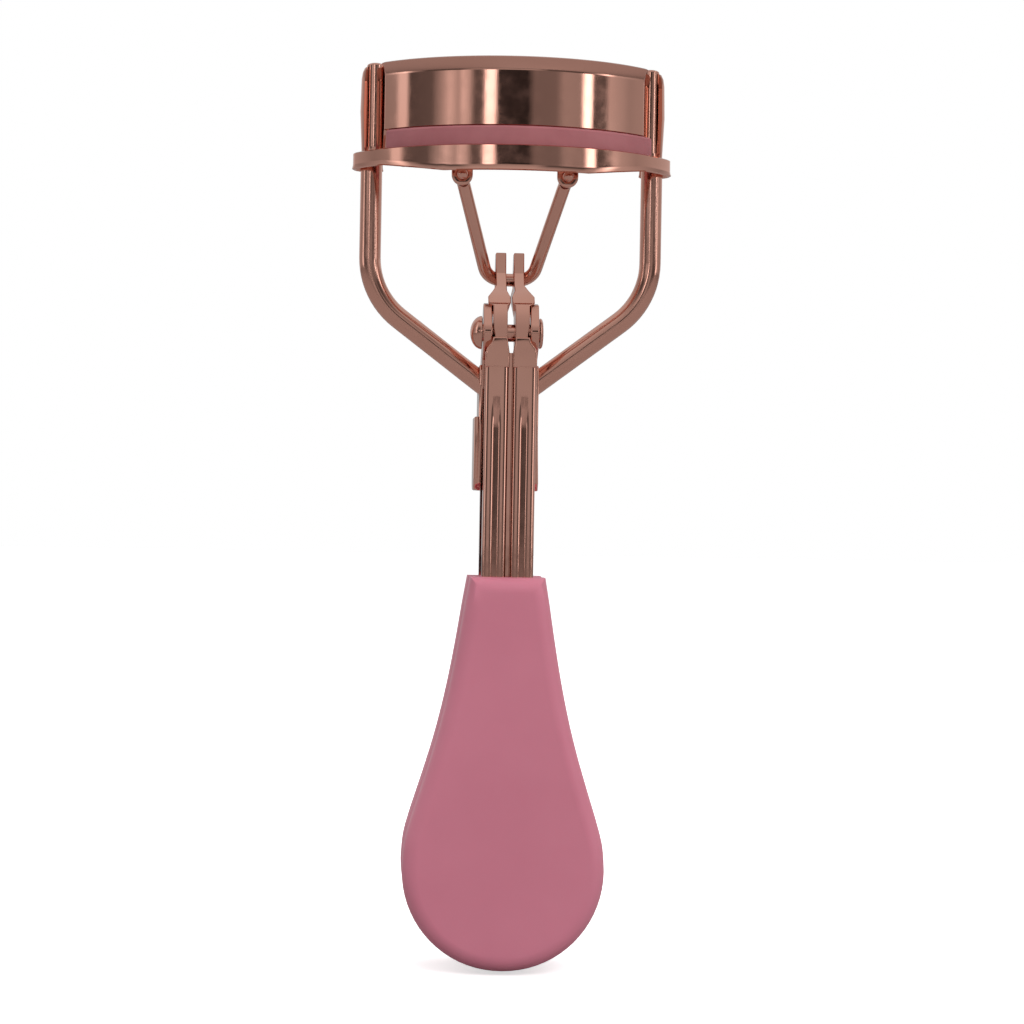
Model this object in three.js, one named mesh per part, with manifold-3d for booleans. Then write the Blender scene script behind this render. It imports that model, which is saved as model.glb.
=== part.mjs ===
// An eyelash curler, held shut: a bent-wire frame with a fixed curved upper band, a sliding lower jaw that
// carries a silicone pad, a V-shaped link, and a stamped lever that works the jaw from the front handle.
// Millimetres, +Z up the tool, -Y towards its front, +X to the right of someone facing the front.
import * as THREE from "three";
import { mergeVertices } from "three/addons/utils/BufferGeometryUtils.js";
import Module from "manifold-3d";

const wasm = await Module();
wasm.setup();

// ---- driving dimensions (y = 0 is the plane of the wire frame) ----
const BAND_TOP = 103.4, BAND_BOTTOM = 95.6; // fixed upper band
const JAW_BOTTOM = 90.45, JAW_TOP = 93.4; // front wall of the lower jaw
const JAW_STRIP_TOP = 92.3; // the wall is cut down to this where it passes a post
const EYE_CENTRE_Y = 9.41; // axis of the head's curve, behind the frame
const BAND_RADIUS = 19.75; // middle of the band's sheet
const PAD_INNER = 18.25, PAD_OUTER = 20.3; // silicone pad
const SHEET = 0.55; // sheet metal of the band and the jaw

const POST_X = 16.3; // post centre
const WIRE_RADIUS = 1.25, POST_TIP_RADIUS = 1.0;
const POST_TIP_X = 16.0, POST_TOP = 103.9;
const NECK_BOTTOM = 92.7, NECK_TOP = 94.2; // where each post necks down to its tip
const LEG_X = 1.32; // the wires' legs, side by side in the bracket
const LEG_END = 55.2;
const DIAGONAL_LOW = 65.7, DIAGONAL_HIGH = 77.0; // corners of each wire's slanted run
const UPPER_BEND = 8.8, LOWER_BEND = 3.0;

const PIVOT = { y: -3.4, z: 72.7 }; // lever pivot
const LINK_HOLE = { y: 1.4, z: 79.2 }; // where the link passes through the lever's prongs
const LUG = { x: 6.0, y: -7.2, z: 90.3 }; // the jaw's two lugs
const LINK_RADIUS = 0.75, LINK_NECK_RADIUS = 0.42;
const PRONG_INNER = 0.5, PRONG_OUTER = 1.6; // each prong plate, from the middle plane
const PRONG_TIP = 82.3;
const EAR_INNER = 2.2, EAR_OUTER = 3.18;

const SHANK_HALF = 2.95; // stamped shanks of lever and rear handle
const FLUTE_RADIUS = 1.17;
const SHANK_SHEET = 0.55;
const SHANK_END = 35.5; // inside the handles
const HANDLE_TOP = 44.7, HANDLE_HALF = 11.5;
const FRONT_HANDLE = { front: -9.1, back: -2.1 };
const REAR_HANDLE = { front: -1.5, back: 5.8 };

const GAP = 0.15; // between pieces that touch

const ROSE_GOLD = { color: 0xc98a78, roughness: 0.16, metalness: 1 };
const PINK_PLASTIC = { color: 0xe07f9c, roughness: 0.42, metalness: 0 };
const PINK_SILICONE = { color: 0xe58aa0, roughness: 0.5, metalness: 0 };

// ---- solids: geometry in, manifold out, and back ----
function solid(geometry) {
  const bare = geometry.index ? geometry.toNonIndexed() : geometry;
  bare.deleteAttribute("normal");
  bare.deleteAttribute("uv");
  const merged = mergeVertices(bare, 1e-4);
  return new wasm.Manifold(
    new wasm.Mesh({
      numProp: 3,
      vertProperties: merged.attributes.position.array,
      triVerts: new Uint32Array(merged.index.array),
    }),
  );
}

function geometryOf(manifold) {
  const mesh = manifold.getMesh();
  return new THREE.BufferGeometry()
    .setAttribute("position", new THREE.BufferAttribute(new Float32Array(mesh.vertProperties), 3))
    .setIndex(new THREE.BufferAttribute(new Uint32Array(mesh.triVerts), 1));
}

const union = (...pieces) => pieces.reduce((all, piece) => all.add(piece));

// A shape drawn in plan (x, y), standing from z = low to z = high.
function standing(shape, low, high, curveSegments = 20) {
  const g = new THREE.ExtrudeGeometry(shape, { depth: high - low, bevelEnabled: false, curveSegments });
  return solid(g.translate(0, 0, low));
}

// A shape drawn from the side (y, z), from x = left to x = right.
function sideways(shape, left, right, curveSegments = 16) {
  const g = new THREE.ExtrudeGeometry(shape, { depth: right - left, bevelEnabled: false, curveSegments });
  g.applyMatrix4(new THREE.Matrix4().set(0, 0, 1, left, 1, 0, 0, 0, 0, 1, 0, 0, 0, 0, 0, 1));
  return solid(g);
}

// A shape drawn from the front (x, z), from y = front to y = back.
function facing(shape, front, back, options = {}) {
  const g = new THREE.ExtrudeGeometry(shape, { depth: back - front, bevelEnabled: false, ...options });
  g.applyMatrix4(new THREE.Matrix4().set(1, 0, 0, 0, 0, 0, -1, back, 0, 1, 0, 0, 0, 0, 0, 1));
  return solid(g);
}

const polygon = (...points) => new THREE.Shape(points.map(([a, b]) => new THREE.Vector2(a, b)));

function box(x, y, z) {
  const g = new THREE.BoxGeometry(x[1] - x[0], y[1] - y[0], z[1] - z[0]);
  return solid(g.translate((x[0] + x[1]) / 2, (y[0] + y[1]) / 2, (z[0] + z[1]) / 2));
}

// A cylinder along X through (y, z).
function crossPin(radius, left, right, { y, z }, sides = 24) {
  const g = new THREE.CylinderGeometry(radius, radius, right - left, sides).rotateZ(Math.PI / 2);
  return solid(g.translate((left + right) / 2, y, z));
}

// A bent sheet seen in plan: the middle line of the sheet, given its thickness on both sides.
function ribbon(line, thickness) {
  const half = thickness / 2;
  const offset = (side) =>
    line.map((point, i) => {
      const before = line[Math.max(i - 1, 0)];
      const after = line[Math.min(i + 1, line.length - 1)];
      const along = after.clone().sub(before).normalize();
      return new THREE.Vector2(point.x - along.y * half * side, point.y + along.x * half * side);
    });
  return new THREE.Shape([...offset(-1), ...offset(1).reverse()]);
}

// Points of an arc about (x, y), from one angle to another in degrees, anticlockwise if they rise.
function arc(x, y, radius, from, to, steps) {
  return Array.from({ length: steps + 1 }, (_, i) => {
    const a = THREE.MathUtils.degToRad(from + ((to - from) * i) / steps);
    return new THREE.Vector2(x + radius * Math.cos(a), y + radius * Math.sin(a));
  });
}

// The same middle line on the left: a right-hand half, mirrored and joined at the middle.
function bothSides(rightHalf) {
  const left = rightHalf.map((p) => new THREE.Vector2(-p.x, p.y)).reverse();
  return [...left.slice(0, -1), ...rightHalf];
}

// A round bar along straight runs whose corners are arcs of the given radii.
function bentPath(corners, radii) {
  const path = new THREE.CurvePath();
  let from = corners[0];
  for (let i = 1; i < corners.length - 1; i++) {
    const before = corners[i - 1].clone().sub(corners[i]).normalize();
    const after = corners[i + 1].clone().sub(corners[i]).normalize();
    const reach = radii[i - 1] / Math.tan(before.angleTo(after) / 2);
    const start = corners[i].clone().addScaledVector(before, reach);
    const end = corners[i].clone().addScaledVector(after, reach);
    path.add(new THREE.LineCurve3(from, start));
    path.add(new THREE.QuadraticBezierCurve3(start, corners[i], end));
    from = end;
  }
  path.add(new THREE.LineCurve3(from, corners.at(-1)));
  return path;
}

function bar(path, radius, steps, sides = 12) {
  const ring = new THREE.Shape(arc(0, 0, radius, 0, 360, sides).slice(0, -1));
  return solid(new THREE.ExtrudeGeometry(ring, { steps, extrudePath: path, bevelEnabled: false }));
}

// ---- frame wires: leg in the bracket, slanted run, post, and a thinner tip in the band's fold ----
const wirePath = (side, top, end = LEG_END) =>
  bentPath(
    [
      new THREE.Vector3(side * LEG_X, 0, end),
      new THREE.Vector3(side * LEG_X, 0, DIAGONAL_LOW),
      new THREE.Vector3(side * POST_X, 0, DIAGONAL_HIGH),
      new THREE.Vector3(side * POST_X, 0, top),
    ],
    [LOWER_BEND, UPPER_BEND],
  );

function frameWire(side) {
  const neck = new THREE.LatheGeometry(
    [
      [0, NECK_BOTTOM],
      [WIRE_RADIUS, NECK_BOTTOM],
      [POST_TIP_RADIUS, NECK_TOP],
      [POST_TIP_RADIUS, POST_TOP - 0.3],
      [POST_TIP_RADIUS - 0.3, POST_TOP],
      [0, POST_TOP],
    ].map(([r, z]) => new THREE.Vector2(r, z)),
    16,
  ).rotateX(Math.PI / 2);
  neck.translate(side * POST_TIP_X, 0, 0);
  return union(bar(wirePath(side, NECK_BOTTOM + 0.4), WIRE_RADIUS, 44), solid(neck));
}

// ---- upper band: a curved sheet whose ends fold back and wrap the post tips from behind ----
function upperBand() {
  const face = 47.5; // half of the face's angle about the head's axis
  const wrap = POST_TIP_RADIUS + GAP + SHEET / 2;
  const corner = new THREE.Vector2(POST_TIP_X - wrap, EYE_CENTRE_Y - BAND_RADIUS * Math.cos((face * Math.PI) / 180));
  const half = [
    ...arc(0, EYE_CENTRE_Y, BAND_RADIUS, -90, -90 + face, 14),
    new THREE.Vector2(corner.x, corner.y + 0.45),
    ...arc(POST_TIP_X, 0, wrap, 180, -40, 14),
  ];
  return standing(ribbon(bothSides(half), SHEET), BAND_BOTTOM, BAND_TOP);
}

// ---- lower jaw: curved channel for the pad, arms that loop round the posts, two lugs for the link ----
const LOOP_RADIUS = 2.0;
const LOOP_START = 60; // degrees from the middle plane, where the wall runs smoothly into the loop
const JAW_RADIUS = Math.hypot(POST_X, EYE_CENTRE_Y) + LOOP_RADIUS;
const FLOOR = JAW_BOTTOM + 1.05;

function channel(outer, inner, halfAngle, low, high) {
  const shape = new THREE.Shape([
    ...arc(0, EYE_CENTRE_Y, outer, -90 - halfAngle, -90 + halfAngle, 24),
    ...arc(0, EYE_CENTRE_Y, inner, -90 + halfAngle, -90 - halfAngle, 24),
  ]);
  return standing(shape, low, high);
}

function lowerJaw() {
  const back = PAD_INNER - GAP - SHEET;
  const half = [
    ...arc(0, EYE_CENTRE_Y, JAW_RADIUS, -90, -90 + LOOP_START, 20),
    ...arc(POST_X, 0, LOOP_RADIUS, -90 + LOOP_START + 12, 185, 15),
  ];
  let jaw = union(
    standing(ribbon(bothSides(half), SHEET), JAW_BOTTOM, JAW_TOP),
    channel(JAW_RADIUS, back + SHEET / 2, 44.5, FLOOR, FLOOR + SHEET),
    channel(back + SHEET, back, 44, FLOOR + 0.1, JAW_TOP - 0.4),
  );
  for (const side of [-1, 1]) {
    const dip = [[13.4, JAW_TOP + 1], [15.2, JAW_STRIP_TOP], [18.2, JAW_STRIP_TOP], [18.9, JAW_TOP + 1]];
    const cut = dip.map(([x, z]) => [side * x, z]);
    jaw = jaw.subtract(facing(polygon(...(side > 0 ? cut : cut.reverse())), -7, -0.4));
    const tab = new THREE.Shape();
    tab.moveTo(side * LUG.x + 1.2, FLOOR + 0.3);
    tab.lineTo(side * LUG.x - 1.2, FLOOR + 0.3);
    tab.lineTo(side * LUG.x - 1.2, LUG.z);
    tab.absarc(side * LUG.x, LUG.z, 1.2, Math.PI, 2 * Math.PI, false);
    tab.holes.push(new THREE.Path().absarc(side * LUG.x, LUG.z, LINK_NECK_RADIUS + 0.25, 0, 2 * Math.PI, true));
    jaw = jaw.add(facing(tab, LUG.y - 0.3, LUG.y + 0.3, { curveSegments: 12 }));
  }
  return jaw;
}

// ---- silicone pad: a curved strip in the jaw's channel, a little off centre ----
function siliconePad() {
  const from = -90 - 48.5, to = -90 + 53.5;
  const shape = new THREE.Shape([
    ...arc(0, EYE_CENTRE_Y, PAD_OUTER, from, to, 28),
    ...arc(0, EYE_CENTRE_Y, PAD_INNER, to, from, 28),
  ]);
  return standing(shape, FLOOR + SHEET + GAP, BAND_BOTTOM - 0.3);
}

// ---- link: one bent wire, from lug to lug through both prongs of the lever ----
function linkWire() {
  const half = (side) => [
    new THREE.Vector3(side * LUG.x, LUG.y + 1.15, LUG.z - 0.05),
    new THREE.Vector3(side * 4.55, -3.1, 86.2),
    new THREE.Vector3(side * 3.1, 0.25, 82.0),
    new THREE.Vector3(side * 2.55, LINK_HOLE.y - 0.45, LINK_HOLE.z + 0.8),
    new THREE.Vector3(side * 1.75, LINK_HOLE.y, LINK_HOLE.z),
  ];
  const route = [...half(-1), new THREE.Vector3(0, LINK_HOLE.y, LINK_HOLE.z), ...half(1).reverse()];
  const pieces = [bar(new THREE.CatmullRomCurve3(route, false, "centripetal"), LINK_RADIUS, 56)];
  for (const side of [-1, 1]) {
    const neck = new THREE.CylinderGeometry(LINK_NECK_RADIUS, LINK_NECK_RADIUS, 2.3, 12);
    const shoulder = new THREE.SphereGeometry(LINK_RADIUS, 12, 8);
    const head = new THREE.SphereGeometry(0.6, 12, 8);
    pieces.push(solid(neck.translate(side * LUG.x, LUG.y + 0.05, LUG.z)));
    pieces.push(solid(shoulder.translate(side * LUG.x, LUG.y + 1.2, LUG.z)));
    pieces.push(solid(head.translate(side * LUG.x, LUG.y - 1.05, LUG.z)));
  }
  return union(...pieces);
}

// ---- stamped shank: a sheet with two round flutes and a groove between them ----
// "outward" is -1 where the flutes face the front and 1 where they face the back.
function flutedShank(root, crest, outward, low, high) {
  const centre = SHANK_HALF - FLUTE_RADIUS;
  const radius = FLUTE_RADIUS - SHANK_SHEET / 2;
  const crown = crest - outward * FLUTE_RADIUS;
  const half = [
    new THREE.Vector2(0, root),
    new THREE.Vector2(centre - radius, root),
    ...arc(centre, outward * crown, radius, 180, 0, 10).map((p) => new THREE.Vector2(p.x, outward * p.y)),
    new THREE.Vector2(centre + radius, root),
  ];
  const line = bothSides(half);
  return standing(ribbon(outward < 0 ? line : line.reverse(), SHANK_SHEET), low, high);
}

// ---- lever: two prongs that take the link, flat cheeks at the pivot, fluted shank into the handle ----
const LEVER_ROOT = -3.7, LEVER_CREST = -6.2;

function frontLever() {
  const prong = polygon(
    [-3.4, 62.5], [-3.1, 69.0], [-1.7, 71.4], [-0.9, 74.6], [1.4, 76.9], [3.0, 78.3], [3.0, 80.4], [2.3, PRONG_TIP],
    [0.6, PRONG_TIP], [0.0, 79.6], [-1.2, 77.9], [-4.3, 76.4], [-5.6, 73.4], [-5.9, 71.2], [-6.0, 69.4], [-6.0, 62.5],
  );
  const pieces = [flutedShank(LEVER_ROOT, LEVER_CREST, -1, SHANK_END, 69.0)];
  for (const side of [-1, 1]) {
    const near = side * PRONG_INNER, far = side * PRONG_OUTER;
    const cheek = polygon(
      [side * 0.58, 62.9], [side * SHANK_HALF, 62.9], [side * SHANK_HALF, 68.5], [side * PRONG_OUTER, 70.8],
      [side * 0.58, 70.8],
    );
    const stop = polygon([-4.2, 76.35], [-2.9, 76.9], [-2.9, 77.7], [-3.9, 77.4]);
    pieces.push(sideways(prong, Math.min(near, far), Math.max(near, far)));
    pieces.push(facing(side > 0 ? cheek : new THREE.Shape(cheek.getPoints().reverse()), LEVER_CREST, -5.3));
    pieces.push(sideways(stop, Math.min(far, side * 2.45) - 0.1, Math.max(far, side * 2.45)));
  }
  return union(...pieces)
    .subtract(crossPin(1.0 + GAP, -4, 4, PIVOT))
    .subtract(crossPin(LINK_RADIUS + 0.35, -4, 4, LINK_HOLE));
}

// ---- pivot bracket: a channel folded round the wires and the rear shank, with two ears in front ----
function pivotBracket() {
  const wall = { inner: 2.95, outer: 3.45 }, low = 54.6, high = 69.2;
  const back = 4.75, web = 0.55;
  const ear = new THREE.Shape();
  ear.moveTo(back - web, 66.3);
  ear.lineTo(back - web, 68.6);
  ear.quadraticCurveTo(1.2, 69.6, -0.6, 73.4);
  ear.lineTo(-2.1, 75.6);
  ear.quadraticCurveTo(-2.6, 76.1, -3.3, 76.1);
  ear.lineTo(-4.3, 75.9);
  ear.absarc(PIVOT.y, PIVOT.z, 2.4, (155 * Math.PI) / 180, (245 * Math.PI) / 180, false);
  ear.lineTo(-2.7, 69.6);
  ear.lineTo(-2.3, 66.3);
  const pieces = [box([-wall.outer, wall.outer], [back - web, back], [low, 66.5])];
  for (const side of [-1, 1]) {
    const span = (a, b) => [Math.min(side * a, side * b), Math.max(side * a, side * b)];
    pieces.push(box(span(wall.inner, wall.outer), [-2.0, back], [low, 67.5]));
    const [left, right] = span(EAR_INNER, EAR_OUTER);
    pieces.push(sideways(ear, left, right));
    pieces.push(box(span(EAR_OUTER - 0.3, wall.outer), [-2.0, back], [66.3, high]));
  }
  return union(...pieces)
    .subtract(bar(wirePath(-1, 84, low - 1), WIRE_RADIUS + GAP, 44))
    .subtract(bar(wirePath(1, 84, low - 1), WIRE_RADIUS + GAP, 44))
    .subtract(crossPin(1.0 + 0.1, -5, 5, PIVOT));
}

// ---- pivot rivet: domed head on the left, flat peened head on the right ----
function pivotRivet() {
  const seat = EAR_OUTER + GAP;
  const profile = [
    [0, seat + 0.5], [1.55, seat + 0.5], [1.75, seat + 0.35], [1.75, seat], [1.0, seat],
    [1.0, -seat], [1.92, -seat], [1.92, -seat - 0.25], [1.7, -seat - 0.8], [1.2, -seat - 1.15], [0, -seat - 1.35],
  ].map(([r, x]) => new THREE.Vector2(r, x));
  const g = new THREE.LatheGeometry(profile.reverse(), 24).rotateZ(-Math.PI / 2);
  return solid(g.translate(0, PIVOT.y, PIVOT.z));
}

// ---- rear shank: the same stamping as the lever's, gripped in the bracket behind the wires ----
const REAR_ROOT = 1.85, REAR_CREST = 4.0;

function rearShank() {
  return flutedShank(REAR_ROOT, REAR_CREST, 1, SHANK_END, 65.6);
}

// ---- handles: flat teardrops with rounded edges, each moulded round the end of its shank ----
function handle({ front, back }, socket) {
  const right = new THREE.SplineCurve(
    [[HANDLE_HALF, 11.4], [10.55, 16.9], [8.9, 22.4], [7.35, 28], [6.05, 34], [4.95, 40.2], [4.25, HANDLE_TOP]].map(
      ([x, z]) => new THREE.Vector2(x, z),
    ),
  ).getPoints(14);
  const base = new THREE.CubicBezierCurve(
    new THREE.Vector2(0, 0),
    new THREE.Vector2(6.9, 0),
    new THREE.Vector2(HANDLE_HALF, 4.6),
    new THREE.Vector2(HANDLE_HALF, 11.4),
  ).getPoints(10);
  const half = [...base.slice(0, -1), ...right];
  const outline = [...half, ...half.slice(1).reverse().map((p) => new THREE.Vector2(-p.x, p.y))];
  const round = 1.6;
  const body = facing(new THREE.Shape(outline), front + round, back - round, {
    bevelEnabled: true,
    bevelSize: round,
    bevelThickness: round,
    bevelOffset: -round,
    bevelSegments: 3,
  });
  return body.subtract(box([-SHANK_HALF - GAP, SHANK_HALF + GAP], socket, [SHANK_END - GAP, HANDLE_TOP + 1]));
}

// ---- the assembly ----
const jawFront = EYE_CENTRE_Y - JAW_RADIUS - SHEET / 2;
const curler = new THREE.Group();
curler.position.y = -(jawFront + REAR_HANDLE.back) / 2; // the part's origin is under the middle of its box

function place(name, manifold, look) {
  const mesh = new THREE.Mesh(geometryOf(manifold), new THREE.MeshStandardMaterial(look));
  mesh.name = name;
  curler.add(mesh);
}

place("frame_wire_left", frameWire(-1), ROSE_GOLD);
place("frame_wire_right", frameWire(1), ROSE_GOLD);
place("upper_band", upperBand(), ROSE_GOLD);
place("lower_jaw", lowerJaw(), ROSE_GOLD);
place("silicone_pad", siliconePad(), PINK_SILICONE);
place("link_wire", linkWire(), ROSE_GOLD);
place("front_lever", frontLever(), ROSE_GOLD);
place("pivot_bracket", pivotBracket(), ROSE_GOLD);
place("pivot_rivet", pivotRivet(), ROSE_GOLD);
place("rear_shank", rearShank(), ROSE_GOLD);
place("front_handle", handle(FRONT_HANDLE, [LEVER_CREST - GAP, LEVER_ROOT + 0.5]), PINK_PLASTIC);
place("rear_handle", handle(REAR_HANDLE, [REAR_ROOT - 0.5, REAR_CREST + GAP]), PINK_PLASTIC);

const part = new THREE.Group();
part.add(curler);

export default part;
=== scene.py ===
"""An eyelash curler in rose gold and pink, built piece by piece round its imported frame.

Every piece is drawn in millimetres about the plane of the two frame wires, then set down in metres.
"""

import math

import bpy
from mathutils import Matrix, Vector


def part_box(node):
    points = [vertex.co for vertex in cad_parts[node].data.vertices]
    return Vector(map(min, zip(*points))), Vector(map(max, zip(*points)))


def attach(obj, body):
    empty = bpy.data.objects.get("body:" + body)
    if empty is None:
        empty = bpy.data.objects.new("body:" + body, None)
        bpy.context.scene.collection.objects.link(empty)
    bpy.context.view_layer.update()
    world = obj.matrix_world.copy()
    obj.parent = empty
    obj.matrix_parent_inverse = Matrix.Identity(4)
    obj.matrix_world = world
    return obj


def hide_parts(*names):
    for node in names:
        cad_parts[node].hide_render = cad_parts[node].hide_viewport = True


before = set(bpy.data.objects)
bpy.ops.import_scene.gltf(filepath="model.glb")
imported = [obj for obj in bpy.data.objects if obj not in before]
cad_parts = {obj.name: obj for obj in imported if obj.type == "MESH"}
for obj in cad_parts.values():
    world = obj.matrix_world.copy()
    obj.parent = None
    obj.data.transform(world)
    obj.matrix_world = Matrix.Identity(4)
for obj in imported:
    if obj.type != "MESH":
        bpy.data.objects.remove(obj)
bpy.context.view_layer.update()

# ---- Frame wires -----------------------------------------------------------------------------------
# Two 2.5 mm steel wires, bent cold on a jig, stand side by side in the bracket, splay apart and rise as
# the posts that guide the jaw. Each post is necked down at its top, where the band is folded round it.
# The steel is polished, then plated rose gold.
MM = 0.001
wire_low, wire_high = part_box("frame_wire_left")
WIRE_PLANE = (wire_low.y + wire_high.y) / 2
WIRE_RADIUS = 1.25
SPLAY_BEND, POST_BEND = 3.0, 8.8
LEG_X, POST_X, POST_TIP_X = 1.32, 16.3, 16.0
LEG_END, SPLAY_LOW, SPLAY_HIGH = 55.2, 65.7, 77.0
NECK_BOTTOM, NECK_TOP, POST_TOP = 92.7, 94.2, 103.9
TIP_SHARE, TIP_DOME = 0.8, 0.35


def begin(add_primitive, **settings):
    """Adds a primitive with nothing else selected, and opens it in edit mode."""
    bpy.ops.object.select_all(action="DESELECT")
    add_primitive(**settings)
    piece = bpy.context.object
    bpy.ops.object.mode_set(mode="EDIT")
    bpy.ops.mesh.select_all(action="SELECT")
    return piece


def pick(piece, wanted):
    """Selects the vertices of the open piece whose place passes the test, with what lies between."""
    bpy.ops.object.mode_set(mode="OBJECT")
    for polygon in piece.data.polygons:
        polygon.select = False
    for edge in piece.data.edges:
        edge.select = False
    for vertex in piece.data.vertices:
        vertex.select = wanted(piece.matrix_world @ vertex.co)
    bpy.ops.object.mode_set(mode="EDIT")
    bpy.ops.mesh.select_mode(type="VERT")


class Feed:
    """A section fed through a bender: it runs straight, or turns towards a direction round a former."""

    def __init__(self, at, along):
        self.at, self.along = Vector(at), Vector(along).normalized()

    def run(self, length):
        step = self.along * length
        bpy.ops.mesh.extrude_region_move(TRANSFORM_OT_translate={"value": step})
        self.at += step

    def bend(self, toward, former, steps=8):
        toward = Vector(toward).normalized()
        axis = self.along.cross(toward).normalized()
        centre = self.at + axis.cross(self.along) * former
        angle = self.along.angle(toward)
        bpy.ops.mesh.spin(steps=steps, angle=angle, center=centre, axis=-axis)
        self.at = centre + Matrix.Rotation(angle, 3, axis) @ (self.at - centre)
        self.along = toward

    def swell(self, share):
        bpy.ops.transform.resize(value=(share, share, share), center_override=self.at)

    def dome(self, depth, steps=4):
        """Closes the end with a rounded cap."""
        share = 1.0
        for i in range(1, steps + 1):
            turn = math.radians(78) * i / steps
            before = math.radians(78) * (i - 1) / steps
            self.run(depth * (math.sin(turn) - math.sin(before)))
            self.swell(math.cos(turn) / share)
            share = math.cos(turn)


def round_bar(radius, at, along, sides=24):
    """A round section, ready to be fed along."""
    turn = Vector(along).to_track_quat("Z", "Y").to_euler()
    begin(
        bpy.ops.mesh.primitive_circle_add,
        vertices=sides,
        radius=radius,
        location=at,
        rotation=turn,
        fill_type="NGON",
    )
    return Feed(at, along)


def close_up(piece, name, smooth=35.0):
    """Merges doubles, turns every face outwards, and smooths what isn't a real edge."""
    if bpy.context.object.mode != "EDIT":
        bpy.ops.object.select_all(action="DESELECT")
        piece.select_set(True)
        bpy.context.view_layer.objects.active = piece
        bpy.ops.object.mode_set(mode="EDIT")
    bpy.ops.mesh.select_all(action="SELECT")
    bpy.ops.mesh.remove_doubles(threshold=0.0005)
    bpy.ops.mesh.normals_make_consistent(inside=False)
    bpy.ops.object.mode_set(mode="OBJECT")
    bpy.ops.object.shade_smooth_by_angle(angle=math.radians(smooth))
    even = piece.modifiers.new("flat faces stay flat", "WEIGHTED_NORMAL")
    even.keep_sharp = True
    bpy.ops.object.modifier_apply(modifier=even.name)
    piece.name = name
    piece.data.name = name
    return piece


def set_down(piece, body, node, material):
    """Brings a piece from millimetres to its place in the frame, and hands it to its body."""
    bpy.ops.object.select_all(action="DESELECT")
    piece.select_set(True)
    bpy.context.view_layer.objects.active = piece
    bpy.ops.object.transform_apply(location=True, rotation=True, scale=True)
    piece.scale = (MM, MM, MM)
    piece.location.y = WIRE_PLANE
    bpy.ops.object.transform_apply(location=True, rotation=True, scale=True)
    piece.data.materials.clear()
    piece.data.materials.append(material)
    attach(piece, body)
    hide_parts(node)


def noise(nodes, scale, detail=2.0):
    """A noise texture with so many waves to the metre."""
    texture = nodes.new("ShaderNodeTexNoise")
    texture.inputs["Scale"].default_value = scale
    texture.inputs["Detail"].default_value = detail
    return texture


def relief(nodes, strength, depth):
    """A bump of so much depth, in metres."""
    bump = nodes.new("ShaderNodeBump")
    bump.inputs["Strength"].default_value = strength
    bump.inputs["Distance"].default_value = depth
    return bump


def ramp_of(nodes, stops):
    """A colour ramp through stops of (place, colour)."""
    ramp = nodes.new("ShaderNodeValToRGB")
    for i, (place, colour) in enumerate(stops):
        stop = ramp.color_ramp.elements[i] if i < 2 else ramp.color_ramp.elements.new(place)
        stop.position = place
        stop.color = (*colour, 1)
    return ramp


def plating(name, rose, shade, rough, scratches):
    """Rose-gold plate on polished steel: a slow drift of tone, cloudy polish and hair-fine scratches."""
    material = bpy.data.materials.new(name)
    material.use_nodes = True
    nodes, links = material.node_tree.nodes, material.node_tree.links
    shader = nodes["Principled BSDF"]
    shader.inputs["Metallic"].default_value = 1.0
    where = nodes.new("ShaderNodeTexCoord")

    drift = noise(nodes, 90.0)
    tone = ramp_of(nodes, [(0.35, shade), (0.65, rose)])
    links.new(where.outputs["Object"], drift.inputs["Vector"])
    links.new(drift.outputs["Fac"], tone.inputs["Fac"])
    links.new(tone.outputs["Color"], shader.inputs["Base Color"])

    cloud = noise(nodes, 700.0, 4.0)
    polish = nodes.new("ShaderNodeMapRange")
    polish.inputs["From Min"].default_value = 0.35
    polish.inputs["From Max"].default_value = 0.7
    polish.inputs["To Min"].default_value = rough
    polish.inputs["To Max"].default_value = rough * 2.2
    links.new(where.outputs["Object"], cloud.inputs["Vector"])
    links.new(cloud.outputs["Fac"], polish.inputs["Value"])
    links.new(polish.outputs["Result"], shader.inputs["Roughness"])

    stretch = nodes.new("ShaderNodeMapping")
    stretch.inputs["Scale"].default_value = (1.0, 1.0, 0.12)
    hair = noise(nodes, 5200.0)
    ripple = noise(nodes, 420.0, 1.0)
    scratch = relief(nodes, scratches, 0.00001)
    wave = relief(nodes, 0.22, 0.00003)
    links.new(where.outputs["Object"], stretch.inputs["Vector"])
    links.new(stretch.outputs["Vector"], hair.inputs["Vector"])
    links.new(where.outputs["Object"], ripple.inputs["Vector"])
    links.new(hair.outputs["Fac"], scratch.inputs["Height"])
    links.new(ripple.outputs["Fac"], wave.inputs["Height"])
    links.new(scratch.outputs["Normal"], wave.inputs["Normal"])
    links.new(wave.outputs["Normal"], shader.inputs["Normal"])
    return material


plate_of_wires = plating("rose_gold_wire", (0.78, 0.415, 0.325), (0.72, 0.37, 0.285), 0.09, 0.12)


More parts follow.
